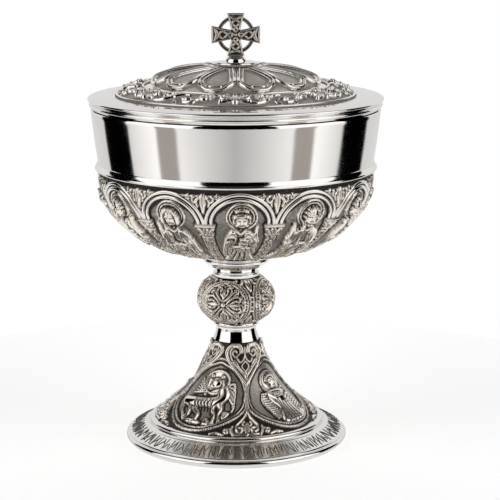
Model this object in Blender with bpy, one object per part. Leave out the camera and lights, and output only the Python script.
"""A silver ciborium: a lidded cup in a cast casing, on a knopped stem and a carved foot.

The object stands at the origin with its axis along +Z and its front towards -Y.
Every size is in metres. Azimuths start at the front and grow towards +X.
"""
import math

import bmesh
import bpy
import numpy as np
from mathutils.geometry import delaunay_2d_cdt

# General
GAP = 0.0003                    # clearance between pieces that touch
SEGMENTS = 32                   # sides of a turned piece
STEM_SEGMENTS = 18              # sides of the small turned pieces
WIDEST_FACET = math.radians(12) # widest step of a carved line round the axis

# Foot
FOOT_RADIUS = 0.0577
FOOT_RIM_HEIGHT = 0.0042
FOOT_WALL = 0.0030
BAND_INNER_RADIUS = 0.0471      # inscription band, a shallow cone
BAND_RISE = 0.0050
FOOT_RING_RADIUS = 0.0449       # bright ring round the carved trumpet
FOOT_RING_THICKNESS = 0.0030
TRUMPET_HEIGHT = 0.0407
TRUMPET_TOP_RADIUS = 0.0120
FOOT_RELIEF = 0.0014
MEDALLIONS = 4
MEDALLION_TURN = math.radians(-34.6)

# Lower collar
NECK_RADIUS = 0.0102
NECK_FLARE = 0.0006
LOWER_FLANGE_RADIUS = 0.0117
LOWER_FLANGE_THICKNESS = 0.0020
LOWER_COLLAR_HEIGHT = 0.0087

# Knop
KNOP_RADIUS = 0.0190
KNOP_HEIGHT = 0.0240
KNOP_END_RADIUS = 0.0112
KNOP_RELIEF = 0.0011
KNOP_TURN = math.radians(-19.4)

# Upper collar
COLLAR_RING_RADIUS = 0.0121
COLLAR_RING_THICKNESS = 0.0020
SPOOL_RADIUS = 0.0114
UPPER_COLLAR_HEIGHT = 0.0106
DISH_RADIUS = 0.0185
DISH_LIP = 0.0018

# Calyx
BAYS = 12
BAY_TURN = math.radians(1.2)
BOWL_STEP = 0.0010              # the ground of the carving lies this far inside the cup's waist
BOWL_DEPTH = 0.0457
BOWL_POWER = 1.94               # 2 is an ellipse; less is closer to a cone
CALYX_FOOT_RADIUS = 0.0182
CALYX_WALL = 0.0016
CALYX_RELIEF = 0.0016
MOULDING_HEIGHT = 0.0062
MOULDING_OVERHANG = 0.0026
ARCH_BAND = 0.0041
COLUMN_WIDTH = 0.0048
CAPITAL_WIDTH = 0.0086
CAPITAL_HEIGHT = 0.0042
ARCH_CROWN_GAP = 0.0008         # plain strip between an arch and the top moulding

# Cup
CUP_WALL = 0.0012
CUP_BAND_HEIGHT = 0.0264
CUP_MOUTH_RADIUS = 0.0737
CUP_WAIST_RADIUS = 0.0703

# Lid
LID_EDGE_RADIUS = 0.0752
LID_EDGE_HEIGHT = 0.0069
LID_RIM_INNER_RADIUS = 0.0612
LID_RIM_SLOPE = 0.0010          # fall of the flat rim towards its edge
LID_WALL = 0.0014
LID_FLANGE_DEPTH = 0.0050
LID_FLANGE_CLEARANCE = 0.0005
SCROLL_INNER_RADIUS = 0.0463
SCROLL_RISE = 0.0042
SCROLL_RELIEF = 0.0027
DOME_RADIUS = 0.0425
DOME_HEIGHT = 0.0093
DOME_POWER = 2.35              # 2 is an ellipse; more is flatter on top
PETALS = 12
PETAL_TURN = math.radians(1.0)
PETAL_RELIEF = 0.0013
LEAF_CLUSTERS = 7

# Finial knob and cross
DISC_RADIUS = 0.0106
DISC_THICKNESS = 0.0024
BOSS_RADIUS = 0.0052
BOSS_HEIGHT = 0.0023
CROSS_SPAN = 0.0245
CROSS_HEIGHT = 0.0216
CROSS_THICKNESS = 0.0032
ARM_WAIST = 0.0047
ARM_END = 0.0088
CROSS_RING_RADIUS = 0.0096
CROSS_RING_WIDTH = 0.0019
CROSS_RING_THICKNESS = 0.0020
CROSS_PANEL_DEPTH = 0.0004

TAU = 2.0 * math.pi

# Sizes and heights that follow from those above, from the table upwards.
BOWL_RADIUS = CUP_WAIST_RADIUS - BOWL_STEP
BAND_TOP = FOOT_RIM_HEIGHT + BAND_RISE
TRUMPET_BASE = BAND_TOP + FOOT_RING_THICKNESS
FOOT_TOP = TRUMPET_BASE + TRUMPET_HEIGHT
LOWER_COLLAR_BASE = FOOT_TOP + GAP
KNOP_BASE = LOWER_COLLAR_BASE + LOWER_COLLAR_HEIGHT + GAP
UPPER_COLLAR_BASE = KNOP_BASE + KNOP_HEIGHT + GAP
CALYX_BASE = UPPER_COLLAR_BASE + UPPER_COLLAR_HEIGHT + GAP
BOWL_START = math.asin((CALYX_FOOT_RADIUS / BOWL_RADIUS) ** (BOWL_POWER / 2.0))
BOWL_EQUATOR = CALYX_BASE + BOWL_DEPTH * math.cos(BOWL_START) ** (2.0 / BOWL_POWER)
CALYX_TOP = BOWL_EQUATOR + MOULDING_HEIGHT
CUP_TOP = CALYX_TOP + CUP_BAND_HEIGHT
LID_BASE = CUP_TOP + GAP
LID_RIM_TOP = LID_BASE + LID_EDGE_HEIGHT
DOME_BASE = LID_RIM_TOP + SCROLL_RISE
LID_TOP = DOME_BASE + DOME_HEIGHT
DISC_BASE = LID_TOP + GAP
CROSS_BASE = DISC_BASE + DISC_THICKNESS + BOSS_HEIGHT + GAP


def clear_scene():
    for item in list(bpy.data.objects):
        bpy.data.objects.remove(item)


def metal(name, colour, roughness):
    """A Principled silver with the given tone and polish."""
    material = bpy.data.materials.new(name)
    material.use_nodes = True
    shader = material.node_tree.nodes["Principled BSDF"]
    shader.inputs["Base Color"].default_value = (*colour, 1.0)
    shader.inputs["Metallic"].default_value = 1.0
    shader.inputs["Roughness"].default_value = roughness
    return material


def finish_object(name, bm, material, smooth=True):
    """Turn a closed bmesh into a named object with its faces pointing out."""
    bmesh.ops.recalc_face_normals(bm, faces=bm.faces[:])
    mesh = bpy.data.meshes.new(name)
    bm.to_mesh(mesh)
    bm.free()
    mesh.materials.append(material)
    if smooth:
        mesh.shade_smooth()
        mesh.set_sharp_from_angle(angle=math.radians(35))
    item = bpy.data.objects.new(name, mesh)
    bpy.context.scene.collection.objects.link(item)
    return item


def ring(bm, radius, height, count):
    """One ring of vertices round the axis, or a single one on the axis itself."""
    if radius <= 0.0:
        return [bm.verts.new((0.0, 0.0, height))]
    turns = [TAU * i / count for i in range(count)]
    return [bm.verts.new((radius * math.sin(a), -radius * math.cos(a), height)) for a in turns]


def azimuth(vert):
    return (math.atan2(vert.co.x, -vert.co.y) + 1e-6) % TAU


def stitch(bm, first, second):
    """Fill between two rings, which may have different counts, with triangles."""
    if len(first) == 1:
        first, second = second, first
    loop = sorted(first, key=azimuth)
    if len(second) == 1:
        for i, vert in enumerate(loop):
            bm.faces.new((vert, loop[(i + 1) % len(loop)], second[0]))
        return
    other = sorted(second, key=azimuth)
    i = j = 0
    while i < len(loop) or j < len(other):
        next_i = azimuth(loop[(i + 1) % len(loop)]) + TAU * ((i + 1) // len(loop))
        next_j = azimuth(other[(j + 1) % len(other)]) + TAU * ((j + 1) // len(other))
        here, there = loop[i % len(loop)], other[j % len(other)]
        if j == len(other) or (i < len(loop) and next_i <= next_j):
            bm.faces.new((here, loop[(i + 1) % len(loop)], there))
            i += 1
        else:
            bm.faces.new((here, other[(j + 1) % len(other)], there))
            j += 1


def stitch_chain(bm, rings, closed=False):
    pairs = list(zip(rings, rings[1:]))
    if closed:
        pairs.append((rings[-1], rings[0]))
    for first, second in pairs:
        stitch(bm, first, second)


def turned(name, profile, count, material, closed=False):
    """A lathe-turned solid from (radius, height) points; closed joins the last to the first."""
    bm = bmesh.new()
    stitch_chain(bm, [ring(bm, radius, height, count) for radius, height in profile], closed)
    return finish_object(name, bm, material)


def arc(centre_radius, centre_height, radius, start, end, steps):
    """Points of an arc in the profile plane; degrees, 0 pointing outwards, 90 up."""
    turns = [math.radians(start + (end - start) * i / steps) for i in range(steps + 1)]
    return [(centre_radius + radius * math.cos(a), centre_height + radius * math.sin(a)) for a in turns]


class Profile:
    """A smooth outline curve of (radius, height), measured by the distance along it."""

    def __init__(self, points):
        self.points = np.array(points)
        steps = np.hypot(*np.diff(self.points, axis=0).T)
        self.distance = np.concatenate([[0.0], np.cumsum(steps)])
        self.length = float(self.distance[-1])

    def at(self, along):
        radius = float(np.interp(along, self.distance, self.points[:, 0]))
        height = float(np.interp(along, self.distance, self.points[:, 1]))
        return radius, height

    def outward(self, along):
        """Unit normal in the profile plane, to the right of a curve that runs upwards."""
        nudge = self.length / 200.0
        low = self.at(max(0.0, along - nudge))
        high = self.at(min(self.length, along + nudge))
        run, rise = high[0] - low[0], high[1] - low[1]
        size = math.hypot(run, rise)
        return rise / size, -run / size


def signed_depth(outline, x, y):
    """How far a point lies inside a closed outline; negative outside."""
    inside = False
    nearest = 1e9
    for (ax, ay), (bx, by) in zip(outline, outline[1:] + outline[:1]):
        if (ay > y) != (by > y) and x < (bx - ax) * (y - ay) / (by - ay) + ax:
            inside = not inside
        ex, ey = bx - ax, by - ay
        share = min(1.0, max(0.0, ((x - ax) * ex + (y - ay) * ey) / (ex * ex + ey * ey + 1e-18)))
        nearest = min(nearest, math.hypot(x - ax - share * ex, y - ay - share * ey))
    return nearest if inside else -nearest


def inset(outline, distance):
    """The outline moved inwards by a distance, corner by corner."""
    area = sum(a[0] * b[1] - b[0] * a[1] for a, b in zip(outline, outline[1:] + outline[:1]))
    side = 1.0 if area > 0 else -1.0
    moved = []
    for i, (x, y) in enumerate(outline):
        before, after = outline[i - 1], outline[(i + 1) % len(outline)]
        run, rise = after[0] - before[0], after[1] - before[1]
        size = math.hypot(run, rise) or 1.0
        moved.append((x - side * distance * rise / size, y + side * distance * run / size))
    return moved


def turned_point(x, y, dx, dy, lean):
    return (x + dx * math.cos(lean) - dy * math.sin(lean), y + dx * math.sin(lean) + dy * math.cos(lean))


def oval(x, y, half_width, half_height, count, lean=0.0):
    turns = [TAU * (i + 0.5) / count for i in range(count)]
    return [turned_point(x, y, half_width * math.cos(a), half_height * math.sin(a), lean)
            for a in turns]


def lobe(x, y, half_width, half_height, rise, lean=0.0, count=6):
    """A leaf, limb or head: an oval that rises to a short spine along its longer axis."""
    small = min(half_width, half_height)
    reach = (max(0.0, half_width - small) * 0.8, max(0.0, half_height - small) * 0.8)
    spine = [turned_point(x, y, -reach[0], -reach[1], lean)]
    if max(reach) > 0.2 * small:
        spine.append(turned_point(x, y, reach[0], reach[1], lean))
    return Raised(oval(x, y, half_width, half_height, count, lean), rise, 0.8 * small, spine)


class Raised:
    """A raised patch of relief: a closed outline, its rise and the width of its sloping edge.

    A patch with a spine rises to that line, like a leaf or a limb; one without has a flat top.
    """

    def __init__(self, outline, rise, bevel, spine=None):
        self.outline, self.rise, self.bevel, self.spine = outline, rise, bevel, spine

    def lines(self):
        top = self.spine
        if top is None:
            top = inset(self.outline, self.bevel)
            top = top + top[:1]
        return [self.outline + self.outline[:1], top]

    def height(self, x, y):
        depth = signed_depth(self.outline, x, y)
        return self.rise * min(1.0, max(0.0, depth / self.bevel))


def with_midpoints(line, widest):
    """Split the steps of a line of (angle, along) that turn further than the widest step."""
    points = list(line[:1])
    for (angle, along), (next_angle, next_along) in zip(line, line[1:]):
        pieces = max(1, math.ceil(abs(next_angle - angle) / widest))
        for i in range(1, pieces + 1):
            t = i / pieces
            points.append((angle + t * (next_angle - angle), along + t * (next_along - along)))
    return points


def carved_sheet(bm, profile, tiles, turn, bottom_steps, top_steps, levels, lines_of, height_of):
    """Relief round the axis, made of equal tiles side by side.

    lines_of(tile) gives the polylines that the carving needs, and height_of(tile, x, along) its
    rise, in metres sideways from the tile's middle and along the profile. The vertices on a
    tile's sides lie at the levels, so neighbours share them. Returns the bottom and top rings.
    """
    pitch = TAU / tiles
    half = pitch / 2.0
    mean_radius = profile.at(profile.length / 2.0)[0]
    shared = {}

    def vertex(tile, angle, along):
        total = (turn + tile * pitch + angle) % TAU
        key = (round(total, 5) % round(TAU, 5), round(along, 6))
        if key not in shared:
            radius, height = profile.at(along)
            out, up = profile.outward(along)
            rise = height_of(tile, angle * radius, along)
            radius += out * rise
            place = (radius * math.sin(total), -radius * math.cos(total), height + up * rise)
            shared[key] = bm.verts.new(place)
        return shared[key]

    for tile in range(tiles):
        border = [(-half + pitch * i / bottom_steps, 0.0) for i in range(bottom_steps + 1)]
        border += [(half, level) for level in levels]
        border += [(half - pitch * i / top_steps, profile.length) for i in range(top_steps + 1)]
        border += [(-half, level) for level in reversed(levels)]
        points = list(border)
        edges = [(i, (i + 1) % len(border)) for i in range(len(border))]
        for line in lines_of(tile):
            previous = None
            turns = [(x / profile.at(along)[0], along) for x, along in line]
            for angle, along in with_midpoints(turns, WIDEST_FACET):
                kept = abs(angle) < half * 0.985 and 0.01 < along / profile.length < 0.99
                if not kept:
                    previous = None
                    continue
                points.append((angle, along))
                if previous is not None:
                    edges.append((previous, len(points) - 1))
                previous = len(points) - 1
        flat = [(angle * mean_radius * 1000.0, along * 1000.0) for angle, along in points]
        places, _, faces, *_ = delaunay_2d_cdt(flat, edges, [], 0, 1e-4)
        for face in faces:
            corners = [vertex(tile, places[i][0] / 1000.0 / mean_radius, places[i][1] / 1000.0)
                       for i in face]
            if len(set(corners)) == 3:
                bm.faces.new(corners)
    bottom = [vert for (_, along), vert in shared.items() if along < 1e-6]
    top = [vert for (_, along), vert in shared.items() if along > profile.length - 2e-6]
    return bottom, top


class Rim:
    """A raised border that runs just inside a closed outline."""

    def __init__(self, outline, rise, width):
        self.outline, self.rise, self.width = outline, rise, width

    def lines(self):
        rows = [self.outline, inset(self.outline, self.width / 2), inset(self.outline, self.width)]
        return [row + row[:1] for row in rows]

    def height(self, x, y):
        depth = signed_depth(self.outline, x, y)
        return self.rise * max(0.0, 1.0 - abs(2.0 * depth / self.width - 1.0))


def highest(patches, x, y):
    return max([0.0] + [patch.height(x, y) for patch in patches])


def mirrored(points):
    """Close a half outline, drawn upwards from its tip, with its mirror image."""
    return points + [(-x, y) for x, y in reversed(points) if x > 0.0]


def quadratic(start, control, end, steps):
    points = []
    for i in range(steps + 1):
        t = i / steps
        weights = ((1 - t) ** 2, 2 * t * (1 - t), t * t)
        points.append(tuple(sum(w * p[k] for w, p in zip(weights, (start, control, end)))
                            for k in (0, 1)))
    return points


def trumpet_profile():
    """The hollow curve of the foot, from the bright ring up to the neck."""
    start = (FOOT_RING_RADIUS - 0.0022, TRUMPET_BASE)
    end = (TRUMPET_TOP_RADIUS, FOOT_TOP)
    reach = start[0] - end[0]
    control = (end[0] + 0.22 * reach, start[1] + 0.38 * TRUMPET_HEIGHT)
    return Profile(quadratic(start, control, end, 14))


def foot_carving(profile):
    """Lines and heights of one quarter: a teardrop medallion between two half hearts."""
    half = math.pi / MEDALLIONS
    length = profile.length
    middle, low, high = 0.30 * length, 0.245 * length, 0.60 * length

    def drop(share, count):
        points = []
        for i in range(count):
            a = TAU * i / count
            along = middle + (high if math.sin(a) > 0 else low) * share * math.sin(a)
            points.append((half * 0.95 * share * math.cos(a) * profile.at(along)[0], along))
        return points

    frame = Rim(drop(1.0, 12), FOOT_RELIEF, 0.0030)
    unit = length / 50.0
    rise = FOOT_RELIEF
    heart = Rim(mirrored([(0.0, 18 * unit), (5.8 * unit, 28 * unit), (9.0 * unit, 39 * unit),
                          (5.6 * unit, 47.0 * unit), (0.0, 43 * unit)]), rise, 0.0024)
    kernel = Raised(mirrored([(0.0, 26 * unit), (2.8 * unit, 34 * unit), (0.0, 39 * unit)]),
                    0.8 * rise, 0.0018, [(0.0, 33 * unit)])
    spiral = lobe(4.4 * unit, 4.9 * unit, 3.4 * unit, 3.4 * unit, rise)
    leaf = lobe(9.6 * unit, 3.0 * unit, 2.8 * unit, 1.2 * unit, 0.8 * rise, 0.5, 5)
    beast = [
        Raised(oval(-6.4 * unit, 24 * unit, 5.0 * unit, 5.2 * unit, 8), 0.45 * rise, 0.0006),
        lobe(0.5 * unit, 15 * unit, 8.6 * unit, 3.9 * unit, 1.4 * rise, -0.15, 8),
        lobe(-6.2 * unit, 23 * unit, 3.0 * unit, 3.6 * unit, 1.7 * rise),
        lobe(4.4 * unit, 24.5 * unit, 2.6 * unit, 7.4 * unit, 1.1 * rise, -0.45),
        lobe(-5.6 * unit, 10.6 * unit, 1.3 * unit, 3.8 * unit, 1.1 * rise, 0.1, 5),
        lobe(6.4 * unit, 10.6 * unit, 1.3 * unit, 3.8 * unit, 1.1 * rise, -0.2, 5),
    ]
    angel = [
        Raised(oval(0.0, 30.5 * unit, 4.8 * unit, 5.0 * unit, 8), 0.45 * rise, 0.0006),
        lobe(0.0, 30 * unit, 2.9 * unit, 3.6 * unit, 1.7 * rise),
        Raised([(-3.8 * unit, 26 * unit), (-6.0 * unit, 7 * unit), (6.0 * unit, 7 * unit),
                (3.8 * unit, 26 * unit)], 1.3 * rise, 0.0022,
               [(0.0, 25 * unit), (-2.0 * unit, 9 * unit), (2.0 * unit, 9 * unit)]),
        lobe(-8.4 * unit, 20 * unit, 2.3 * unit, 7.2 * unit, 1.1 * rise, -0.25),
        lobe(8.4 * unit, 20 * unit, 2.3 * unit, 7.2 * unit, 1.1 * rise, 0.25),
    ]

    sides = [heart, kernel, spiral, leaf]

    def lines_of(tile):
        rows = list(frame.lines())
        for patch in (beast, angel)[tile % 2]:
            rows += patch.lines()
        for patch in sides:
            for row in patch.lines():
                for side in (-1.0, 1.0):
                    rows.append([(side * (half * profile.at(y)[0] - u), y) for u, y in row])
        return rows

    def height_of(tile, x, along):
        from_side = half * profile.at(along)[0] - abs(x)
        rise = highest([frame] + (beast, angel)[tile % 2], x, along)
        return max(rise, highest(sides, from_side, along))

    return lines_of, height_of


def make_foot(material):
    """Cast foot: a rim, the inscription band, a bright ring and the carved trumpet, all hollow."""
    bm = bmesh.new()
    profile = trumpet_profile()
    lines_of, height_of = foot_carving(profile)
    levels = [profile.length * share for share in (0.1, 0.2, 0.3, 0.37, 0.55, 0.78, 0.87, 0.95)]
    bottom, top = carved_sheet(bm, profile, MEDALLIONS, MEDALLION_TURN, 9, 5, levels,
                               lines_of, height_of)
    inner_rim = FOOT_RADIUS - 2.0 * FOOT_WALL
    outer = [(FOOT_RADIUS - 0.0002, 0.0), (FOOT_RADIUS, 0.5 * FOOT_RIM_HEIGHT),
             (FOOT_RADIUS - 0.0018, FOOT_RIM_HEIGHT), (BAND_INNER_RADIUS, BAND_TOP)]
    outer += arc(FOOT_RING_RADIUS - 0.0006, BAND_TOP + FOOT_RING_THICKNESS / 2,
                 FOOT_RING_THICKNESS / 2, -50, 75, 2)
    rings = [ring(bm, radius, height, SEGMENTS) for radius, height in outer]
    stitch_chain(bm, rings)
    stitch(bm, rings[-1], bottom)
    hollow = []
    for share in (0.8, 0.45, 0.0):
        along = share * profile.length
        radius, height = profile.at(along)
        out, up = profile.outward(along)
        hollow.append((radius - out * FOOT_WALL, height - up * FOOT_WALL))
    hollow.append((inner_rim, FOOT_RIM_HEIGHT - 0.4 * FOOT_WALL))
    hollow.append((inner_rim, 0.0))
    under = [ring(bm, radius, height, SEGMENTS) for radius, height in hollow]
    stitch(bm, ring(bm, 0.0, hollow[0][1], 1), under[0])
    stitch_chain(bm, under)
    stitch(bm, under[-1], rings[0])
    stitch(bm, top, ring(bm, 0.0, FOOT_TOP, 1))
    return finish_object("foot", bm, material)


def make_lower_collar(material):
    """Polished waisted neck with a flange under the knop."""
    base, flange = LOWER_COLLAR_BASE, LOWER_COLLAR_BASE + LOWER_COLLAR_HEIGHT
    shoulder = flange - LOWER_FLANGE_THICKNESS
    profile = [(0.0, base), (NECK_RADIUS + NECK_FLARE, base),
               (NECK_RADIUS + 0.3 * NECK_FLARE, base + 0.3 * (shoulder - base)),
               (NECK_RADIUS, base + 0.6 * (shoulder - base)),
               (NECK_RADIUS, shoulder - 0.0004)]
    profile += arc(LOWER_FLANGE_RADIUS - LOWER_FLANGE_THICKNESS / 2,
                   flange - LOWER_FLANGE_THICKNESS / 2, LOWER_FLANGE_THICKNESS / 2, -90, 90, 4)
    profile.append((0.0, flange))
    return turned("lower_collar", profile, STEM_SEGMENTS, material)


def knop_profile():
    """The side of a flattened ball, cut off flat at both ends."""
    middle = KNOP_BASE + KNOP_HEIGHT / 2.0
    ends = math.acos(KNOP_END_RADIUS / KNOP_RADIUS)
    half_height = KNOP_HEIGHT / 2.0 / math.sin(ends)
    turns = [-ends + 2.0 * ends * i / 12 for i in range(13)]
    return Profile([(KNOP_RADIUS * math.cos(a), middle + half_height * math.sin(a)) for a in turns])


def make_knop(material):
    """Cast knop with four round medallions, each a cross of four palmettes."""
    bm = bmesh.new()
    profile = knop_profile()
    middle = profile.length / 2.0
    size = 0.40 * profile.length
    frame = Rim(oval(0.0, middle, size, size, 12), KNOP_RELIEF, 0.0020)
    patches = [frame, lobe(0.0, middle, 0.0016, 0.0016, KNOP_RELIEF)]
    for quarter in range(4):
        a = quarter * math.pi / 2.0
        out = 0.48 * size
        patches.append(lobe(out * math.cos(a), middle + out * math.sin(a), 0.30 * size,
                            0.20 * size, KNOP_RELIEF, a, 5))
    diamond = lobe(0.0, middle, 0.0020, 0.45 * size, KNOP_RELIEF)
    half = math.pi / MEDALLIONS

    def lines_of(_):
        rows = [line for patch in patches for line in patch.lines()]
        for row in diamond.lines():
            for side in (-1.0, 1.0):
                rows.append([(side * (half * profile.at(y)[0] - u), y) for u, y in row])
        return rows

    def height_of(_, x, along):
        from_side = half * profile.at(along)[0] - abs(x)
        return max(highest(patches, x, along), highest([diamond], from_side, along))

    levels = [middle + size * share for share in (-0.9, -0.45, -0.2, 0.2, 0.45, 0.9)]
    bottom, top = carved_sheet(bm, profile, MEDALLIONS, KNOP_TURN, 8, 8, levels,
                               lines_of, height_of)
    stitch(bm, bottom, ring(bm, 0.0, KNOP_BASE, 1))
    stitch(bm, top, ring(bm, 0.0, KNOP_BASE + KNOP_HEIGHT, 1))
    return finish_object("knop", bm, material)


def make_upper_collar(material):
    """Turned ring, spool and dish in one piece, between the knop and the bowl."""
    base, top = UPPER_COLLAR_BASE, UPPER_COLLAR_BASE + UPPER_COLLAR_HEIGHT
    half_ring = COLLAR_RING_THICKNESS / 2.0
    spool_top = base + COLLAR_RING_THICKNESS + 0.24 * (top - base)
    profile = [(0.0, base)]
    profile += arc(COLLAR_RING_RADIUS - half_ring, base + half_ring, half_ring, -90, 60, 4)
    profile.append((SPOOL_RADIUS, base + COLLAR_RING_THICKNESS + 0.0002))
    profile += quadratic((SPOOL_RADIUS, spool_top),
                         (DISH_RADIUS - 0.0020, spool_top + 0.0006),
                         (DISH_RADIUS - 0.0003, top - DISH_LIP), 4)
    profile += [(DISH_RADIUS, top - 0.6 * DISH_LIP), (DISH_RADIUS - 0.0004, top), (0.0, top)]
    return turned("upper_collar", profile, STEM_SEGMENTS, material)


def bowl_curve(inside):
    """Bowl from its foot to its equator, nearly a quarter ellipse, a distance inside the ground."""
    points = []
    for i in range(25):
        a = BOWL_START + (math.pi / 2.0 - BOWL_START) * i / 24
        points.append(((BOWL_RADIUS - inside) * math.sin(a) ** (2.0 / BOWL_POWER),
                       BOWL_EQUATOR - (BOWL_DEPTH - inside) * math.cos(a) ** (2.0 / BOWL_POWER)))
    return points


def figure_patches(kind, head, scale):
    """One robed figure with a halo; the kind sets its lean, its raised hand and what it holds."""
    side = (1.0, -1.0, 1.0, -1.0)[kind]
    lean = (0.0, 1.6, -1.2, 0.8)[kind] * scale
    hem, waist, shoulder = head - 37 * scale, head - 18 * scale, head - 6.5 * scale
    body = [(-6.4 * scale - lean, hem), (6.6 * scale - lean, hem),
            (6.9 * scale, shoulder - 4.5 * scale), (3.2 * scale, shoulder),
            (-3.2 * scale, shoulder), (-6.9 * scale, shoulder - 4.5 * scale)]
    patches = [
        Raised(oval(0.0, head, 7.8 * scale, 7.8 * scale, 7), 0.35 * CALYX_RELIEF, 0.6 * scale),
        Raised(body, 0.85 * CALYX_RELIEF, 1.5 * scale,
               [(3.0 * scale, shoulder - 3.0 * scale), (-3.0 * scale, shoulder - 3.0 * scale)]),
        lobe(side * 7.0 * scale, head - 7.5 * scale, 1.3 * scale, 4.6 * scale,
             1.05 * CALYX_RELIEF, -0.2 * side, 5),
        lobe(0.0, head - 0.4 * scale, 4.1 * scale, 5.0 * scale, 1.25 * CALYX_RELIEF, 0.0, 7),
    ]
    if kind % 2 == 0:
        patches.append(Raised([(side * x * scale, head - y * scale)
                               for x, y in ((1.0, 19.5), (-4.5, 19.5), (-4.5, 13.5), (1.0, 13.5))],
                              1.15 * CALYX_RELIEF, 1.2 * scale,
                              [(side * -1.8 * scale, head - 18.3 * scale),
                               (side * -1.8 * scale, head - 14.7 * scale)]))
    return patches, hem, waist


def calyx_carving(profile):
    """Lines and heights of one bay: an arch on two half columns, over a standing figure."""
    half = math.pi / BAYS
    crown = profile.length - ARCH_CROWN_GAP
    arch_radius = half * BOWL_RADIUS * 0.955
    spring = crown - arch_radius
    scale = arch_radius / 17.3
    head = spring + 5.5 * scale
    radii = [arch_radius - ARCH_BAND * share for share in (0.0, 0.25, 0.5, 1.0)]
    rises = [0.0, CALYX_RELIEF, 0.55 * CALYX_RELIEF, 0.0]
    capital = Raised(mirrored([(0.0, spring - CAPITAL_HEIGHT),
                               (0.36 * CAPITAL_WIDTH, spring - CAPITAL_HEIGHT),
                               (CAPITAL_WIDTH / 2, spring - 0.0004), (0.0, spring)]),
                     1.1 * CALYX_RELIEF, 0.0010,
                     [(0.32 * CAPITAL_WIDTH, spring - 0.3 * CAPITAL_HEIGHT)])
    leaf = Raised(mirrored([(0.0, spring + 7.0 * scale), (2.6 * scale, crown - 5.5 * scale),
                            (6.4 * scale, crown - 1.3 * scale), (0.0, crown - 0.8 * scale)]),
                  0.9 * CALYX_RELIEF, 0.0012, [(3.4 * scale, crown - 3.0 * scale)])
    fold = 4.0 * scale
    shaft_low = 0.17 * profile.length
    kinds = [figure_patches(kind, head, scale) for kind in range(4)]

    def arch_height(x, along):
        out = math.hypot(x, max(0.0, along - spring))
        if along < spring - 1e-6:
            return 0.0
        return float(np.interp(-out, [-r for r in radii], rises))

    def shaft_height(from_side, along):
        if along > spring - CAPITAL_HEIGHT + 1e-6:
            return 0.0
        reach = abs(from_side) / (COLUMN_WIDTH / 2)
        return CALYX_RELIEF * math.sqrt(max(0.0, 1.0 - reach * reach))

    def lines_of(tile):
        rows = []
        for radius in radii:
            turns = [math.pi * i / 7 for i in range(8)]
            rows.append([(radius * math.cos(a), spring + radius * math.sin(a)) for a in turns])
        patches, hem, waist = kinds[tile % 4]
        for patch in patches:
            rows += patch.lines()
        for step in (-1, 0, 1):
            rows.append([(step * fold / 2, hem + 1.6 * scale), (step * fold / 2, waist)])
        for side in (-1.0, 1.0):
            for row in capital.lines() + leaf.lines():
                rows.append([(side * (half * profile.at(y)[0] - u), y) for u, y in row])
            row = [shaft_low, 0.4 * profile.length, spring - CAPITAL_HEIGHT]
            rows.append([(side * (half * profile.at(y)[0] - COLUMN_WIDTH / 2), y) for y in row])
        return rows

    def height_of(tile, x, along):
        from_side = half * profile.at(along)[0] - abs(x)
        patches, hem, waist = kinds[tile % 4]
        rise = highest(patches, x, along)
        if hem < along < waist and rise > 0.5 * CALYX_RELIEF:
            rise -= 0.35 * CALYX_RELIEF * (0.5 - 0.5 * math.cos(TAU * x / fold))
        rise = max(rise, arch_height(x, along), shaft_height(from_side, along),
                   capital.height(from_side, along), leaf.height(from_side, along))
        return rise * min(1.0, along / shaft_low)

    levels = [shaft_low, 0.4 * profile.length, spring - CAPITAL_HEIGHT,
              spring - 0.3 * CAPITAL_HEIGHT, spring, spring + 6.6 * scale, crown - 3.0 * scale]
    return lines_of, height_of, levels


def make_calyx(material):
    """Cast casing of the bowl: the arcade of figures below a plain top moulding."""
    bm = bmesh.new()
    profile = Profile(bowl_curve(0.0))
    lines_of, height_of, levels = calyx_carving(profile)
    bottom, top = carved_sheet(bm, profile, BAYS, BAY_TURN, 2, 3, levels, lines_of, height_of)
    moulding = arc(BOWL_RADIUS + MOULDING_OVERHANG - 0.4 * MOULDING_HEIGHT,
                   BOWL_EQUATOR + 0.5 * MOULDING_HEIGHT, 0.4 * MOULDING_HEIGHT, -70, 50, 2)
    moulding.append((CUP_WAIST_RADIUS + GAP, CALYX_TOP))
    outer = [ring(bm, radius, height, SEGMENTS) for radius, height in moulding]
    stitch(bm, top, outer[0])
    stitch_chain(bm, outer)
    lining = calyx_lining()
    inner = [ring(bm, radius, height, SEGMENTS) for radius, height in reversed(lining)]
    stitch(bm, outer[-1], inner[0])
    stitch_chain(bm, inner)
    stitch(bm, inner[-1], ring(bm, 0.0, lining[0][1], 1))
    stitch(bm, bottom, ring(bm, 0.0, CALYX_BASE, 1))
    return finish_object("calyx", bm, material)


def calyx_lining():
    """Inside of the casing, which the cup's bowl follows: (radius, height) going up."""
    points = bowl_curve(CALYX_WALL)[::6]
    points[0] = (points[0][0], max(points[0][1], CALYX_BASE + CALYX_WALL))
    return points + [(CUP_WAIST_RADIUS + GAP, CALYX_TOP - 0.3 * MOULDING_HEIGHT)]


def cup_outline():
    """Outside of the cup from its base up to the lip, a gap inside the casing."""
    points = [(radius - GAP, height + GAP) for radius, height in calyx_lining()]
    points.append((CUP_WAIST_RADIUS, CALYX_TOP + GAP))
    rise = CUP_TOP - CALYX_TOP - GAP
    bulge = 0.12 * (CUP_MOUTH_RADIUS - CUP_WAIST_RADIUS)
    middle = (CUP_WAIST_RADIUS + CUP_MOUTH_RADIUS) / 2.0 + bulge
    points.append((middle, CALYX_TOP + GAP + rise / 2.0))
    points.append((CUP_MOUTH_RADIUS, CUP_TOP))
    return points


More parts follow.
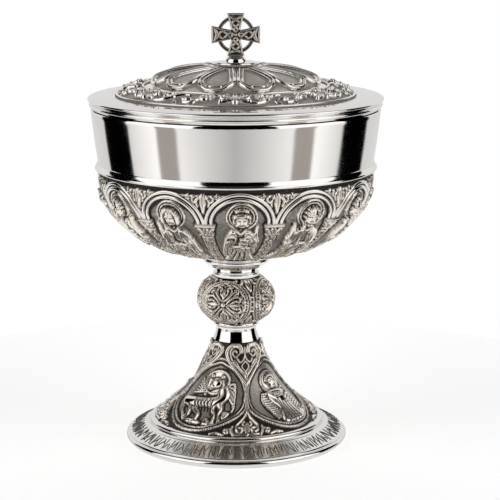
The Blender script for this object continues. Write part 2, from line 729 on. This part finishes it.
def make_cup(material):
    """Raised and polished cup: a plain band over a bowl that the casing hides."""
    outside = cup_outline()
    inside = [(radius - CUP_WALL, height) for radius, height in reversed(outside)
              if not BOWL_EQUATOR < height < CALYX_TOP]
    inside = [(radius, height + (CUP_WALL if height < BOWL_EQUATOR else 0.0))
              for radius, height in inside]
    profile = [(0.0, outside[0][1])] + outside + inside + [(0.0, outside[0][1] + CUP_WALL)]
    return turned("cup", profile, SEGMENTS, material)


def dome_profile():
    """Upper side of the lid's dome, from its foot up to the seat of the finial."""
    points = []
    for i in range(13):
        a = math.pi / 2.0 * i / 12
        radius = DOME_RADIUS * math.cos(a) ** (2.0 / DOME_POWER)
        if radius > DISC_RADIUS * 0.9:
            points.append((radius, DOME_BASE + DOME_HEIGHT * math.sin(a) ** (2.0 / DOME_POWER)))
    points.append((DISC_RADIUS * 0.8, LID_TOP))
    return Profile(points)


def petal_outline(profile):
    """One petal seen flat, widest near its rounded outer end."""
    half = math.pi / PETALS
    points = []
    for i in range(9):
        a = TAU * (i + 0.5) / 9
        along = profile.length * (0.50 + 0.47 * math.cos(a))
        spread = math.sin(a)
        points.append((0.95 * half * profile.at(along)[0] * spread, along))
    return points


def make_lid(material):
    """Raised lid: flat rim, scroll ring, dome of twelve petals and a flange inside the cup."""
    bm = bmesh.new()
    dome = dome_profile()
    petal = Rim(petal_outline(dome), PETAL_RELIEF, 0.0042)
    dome_bottom, dome_top = carved_sheet(
        bm, dome, PETALS, PETAL_TURN + math.pi / PETALS, 3, 1,
        [dome.length * share for share in (0.25, 0.5, 0.75)],
        lambda _: petal.lines(), lambda _, x, y: petal.height(x, y))
    slope = Profile([(LID_RIM_INNER_RADIUS, LID_RIM_TOP), (SCROLL_INNER_RADIUS, DOME_BASE - 0.0002)])
    middle = slope.length / 2.0
    pitch = TAU / LEAF_CLUSTERS * (LID_RIM_INNER_RADIUS + SCROLL_INNER_RADIUS) / 2.0
    leaves = [lobe(0.0, middle + 0.0006, 0.0030, 0.40 * slope.length, SCROLL_RELIEF)]
    for side in (-1.0, 1.0):
        leaves.append(lobe(side * 0.0066, middle - 0.0014, 0.0040, 0.0036, SCROLL_RELIEF, side * 0.5, 5))
        leaves.append(lobe(side * 0.26 * pitch, middle + side * 0.0014, 0.0066, 0.0028,
                           0.8 * SCROLL_RELIEF, side * 0.4, 5))
        leaves.append(lobe(side * 0.40 * pitch, middle + side * 0.0008, 0.0040, 0.0040,
                           SCROLL_RELIEF, side * 0.5, 5))
    scroll_bottom, scroll_top = carved_sheet(
        bm, slope, LEAF_CLUSTERS, 0.0, 5, 5, [middle],
        lambda _: [line for leaf in leaves for line in leaf.lines()],
        lambda _, x, y: highest(leaves, x, y))
    stitch(bm, scroll_top, dome_bottom)
    stitch(bm, dome_top, ring(bm, 0.0, LID_TOP, 1))
    seat = CUP_MOUTH_RADIUS
    rim = [(seat + 0.0004, LID_BASE), (seat + 0.0006, LID_BASE + 0.0014),
           (LID_EDGE_RADIUS - 0.0002, LID_BASE + 0.42 * LID_EDGE_HEIGHT),
           (LID_EDGE_RADIUS, LID_BASE + 0.56 * LID_EDGE_HEIGHT),
           (LID_EDGE_RADIUS - 0.0016, LID_RIM_TOP - LID_RIM_SLOPE)]
    rim_rings = [ring(bm, radius, height, SEGMENTS) for radius, height in rim]
    stitch_chain(bm, rim_rings)
    stitch(bm, rim_rings[-1], scroll_bottom)
    flange = CUP_MOUTH_RADIUS - CUP_WALL - LID_FLANGE_CLEARANCE
    lower = flange - LID_FLANGE_DEPTH * (CUP_MOUTH_RADIUS - CUP_WAIST_RADIUS) / CUP_BAND_HEIGHT
    inner_radius = lower - 2.0 * GAP - LID_WALL
    inside = [(flange, LID_BASE), (lower - 2.0 * GAP, LID_BASE - LID_FLANGE_DEPTH),
              (inner_radius, LID_BASE - LID_FLANGE_DEPTH),
              (inner_radius, LID_RIM_TOP - LID_RIM_SLOPE - LID_WALL),
              (LID_RIM_INNER_RADIUS, LID_RIM_TOP - LID_WALL),
              (DOME_RADIUS - LID_WALL, DOME_BASE - LID_WALL)]
    for share in (0.3, 0.6):
        radius, height = dome.at(share * dome.length)
        out, up = dome.outward(share * dome.length)
        inside.append((radius - out * LID_WALL, height - up * LID_WALL))
    under = [ring(bm, radius, height, SEGMENTS) for radius, height in inside]
    stitch(bm, rim_rings[0], under[0])
    stitch_chain(bm, under)
    stitch(bm, under[-1], ring(bm, 0.0, LID_TOP - LID_WALL, 1))
    return finish_object("lid", bm, material)


def make_finial_knob(material):
    """Turned disc with a small boss, which carries the cross."""
    top = DISC_BASE + DISC_THICKNESS
    half = 0.36 * DISC_THICKNESS
    profile = [(0.0, DISC_BASE), (DISC_RADIUS - half, DISC_BASE)]
    profile += arc(DISC_RADIUS - half, DISC_BASE + half, half, -45, 80, 3)
    profile += [(BOSS_RADIUS + 0.0012, top)]
    profile += arc(BOSS_RADIUS - 0.4 * BOSS_HEIGHT, top + 0.45 * BOSS_HEIGHT,
                   0.4 * BOSS_HEIGHT, -60, 70, 3)
    profile += [(ARM_END / 2.0 - 0.0012, top + BOSS_HEIGHT), (0.0, top + BOSS_HEIGHT)]
    return turned("finial_knob", profile, STEM_SEGMENTS, material)


def cross_outline(shrink):
    """Outline of a cross with four flared arms, in the X-Z plane about its own centre."""
    waist, end = ARM_WAIST / 2.0 - shrink, ARM_END / 2.0 - shrink
    points = []
    for quarter in range(4):
        reach = (CROSS_SPAN if quarter % 2 == 0 else CROSS_HEIGHT) / 2.0 - shrink
        turn = quarter * math.pi / 2.0
        flare = quadratic((waist, waist), (0.6 * reach, waist), (reach, end), 3)
        arm = [(x, -y) for x, y in flare] + [(x, y) for x, y in reversed(flare)]
        for x, y in arm[:-1]:
            points.append((x * math.cos(turn) - y * math.sin(turn),
                           x * math.sin(turn) + y * math.cos(turn)))
    return points


def make_cross(material):
    """Cast cross with a ring behind its arms and a sunk panel of interlace on each face."""
    centre = CROSS_BASE + CROSS_HEIGHT / 2.0
    half = CROSS_THICKNESS / 2.0
    border = 0.0007
    outline = cross_outline(0.0)
    panel = cross_outline(border)
    knots = []
    for quarter in range(4):
        reach = (CROSS_SPAN if quarter % 2 == 0 else CROSS_HEIGHT) / 2.0
        for share, size in ((0.42, 0.0011), (0.76, 0.0018)):
            a = quarter * math.pi / 2.0
            knots.append(Raised(oval(share * reach * math.cos(a), share * reach * math.sin(a),
                                     0.0013, size, 4, a), CROSS_PANEL_DEPTH, 0.6 * size))
    knots.append(Raised(oval(0.0, 0.0, 0.0012, 0.0012, 6), CROSS_PANEL_DEPTH, 0.0005))
    bm = bmesh.new()
    rims = []
    for face in (-1.0, 1.0):
        points = list(outline)
        edges = [(i, (i + 1) % len(outline)) for i in range(len(outline))]
        for line in [panel + panel[:1]] + [row for knot in knots for row in knot.lines()]:
            first = len(points)
            points += line[:-1]
            count = len(line) - 1
            edges += [(first + i, first + (i + 1) % count) for i in range(count)]
        flat = [(x * 1000.0, y * 1000.0) for x, y in points]
        places, _, faces, *_ = delaunay_2d_cdt(flat, edges, [], 1, 1e-4)
        verts = []
        for x, y in ((place[0] / 1000.0, place[1] / 1000.0) for place in places):
            sunk = signed_depth(outline, x, y) > 0.6 * border
            depth = half - (CROSS_PANEL_DEPTH - highest(knots, x, y) if sunk else 0.0)
            verts.append(bm.verts.new((x, face * depth, centre + y)))
        for corners in faces:
            if signed_depth(outline, *np.mean([(places[i][0] / 1000.0, places[i][1] / 1000.0)
                                               for i in corners], axis=0)) > 0.0:
                bm.faces.new([verts[i] for i in corners])
        rims.append(verts[:len(outline)])
    for i in range(len(outline)):
        j = (i + 1) % len(outline)
        bm.faces.new((rims[0][i], rims[0][j], rims[1][j], rims[1][i]))
    cross = finish_object("cross", bm, material, smooth=False)
    hoop_profile = []
    for side in (-1.0, 1.0):
        depth = side * CROSS_RING_THICKNESS / 2.0
        hoop_profile.append((CROSS_RING_RADIUS, depth))
        hoop_profile.append((CROSS_RING_RADIUS - CROSS_RING_WIDTH, depth))
    hoop_profile = [hoop_profile[0], hoop_profile[2], hoop_profile[3], hoop_profile[1]]
    hoop = turned("cross_hoop", hoop_profile, STEM_SEGMENTS, material, closed=True)
    hoop.rotation_euler = (math.pi / 2.0, math.radians(3.0), 0.0)
    hoop.location = (0.0, 0.0, centre)
    hoop.hide_render = True
    hoop.display_type = "WIRE"
    joined = cross.modifiers.new("hoop", "BOOLEAN")
    joined.operation = "UNION"
    joined.object = hoop
    return cross


def main():
    clear_scene()
    polished = metal("polished_silver", (0.80, 0.79, 0.77), 0.10)
    carved = metal("oxidised_silver", (0.52, 0.50, 0.48), 0.38)
    make_foot(carved)
    make_lower_collar(polished)
    make_knop(carved)
    make_upper_collar(polished)
    make_calyx(carved)
    make_cup(polished)
    make_lid(polished)
    make_finial_knob(polished)
    make_cross(carved)


main()
